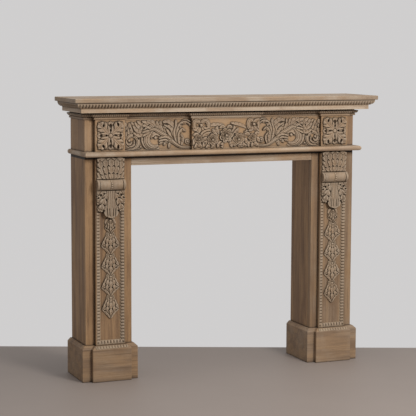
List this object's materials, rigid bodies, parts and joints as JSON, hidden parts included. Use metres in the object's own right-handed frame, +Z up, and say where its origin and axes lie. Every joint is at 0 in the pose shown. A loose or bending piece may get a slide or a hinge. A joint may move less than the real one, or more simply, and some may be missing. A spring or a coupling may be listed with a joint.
{
  "type": "fireplace mantel",
  "caption": "Carved oak fireplace mantel with panelled legs, leaf consoles, husk drops, a scroll and garland frieze, and a moulded shelf.",
  "frame": {"origin": "centre of the overall box at floor level", "axes": "+X to the viewer's right along the shelf, +Y into the wall, +Z up"},
  "size_m": [1.4, 0.3, 1.2],
  "materials": {
    "oak": "weathered, washed and waxed, matt",
    "carved_oak": "weathered, grey-washed carving with dark recesses, matt"
  },
  "bodies": {
    "root": {"shelf_board": "oak", "crown_ovolo_front": "carved_oak", "crown_ovolo_left": "carved_oak", "crown_ovolo_right": "carved_oak", "corona_front": "oak", "corona_left": "oak", "corona_right": "oak", "bed_mould_front": "oak", "bed_mould_left": "oak", "bed_mould_right": "oak", "frieze_board": "oak", "frieze_side_left": "oak", "frieze_side_right": "oak", "corner_block_left": "carved_oak", "corner_block_right": "carved_oak", "scroll_panel_left": "carved_oak", "scroll_panel_right": "carved_oak", "garland_tablet": "carved_oak", "necking_front": "oak", "necking_left": "oak", "necking_right": "oak", "header_board": "oak", "leg_front_left": "oak", "leg_front_right": "oak", "leg_outer_side_left": "oak", "leg_outer_side_right": "oak", "leg_inner_side_left": "oak", "leg_inner_side_right": "oak", "pilaster_left": "carved_oak", "pilaster_right": "carved_oak", "console_left": "carved_oak", "console_right": "carved_oak", "husk_drop_left": "carved_oak", "husk_drop_right": "carved_oak", "plinth_left": "oak", "plinth_right": "oak"}
  },
  "joints": []
}
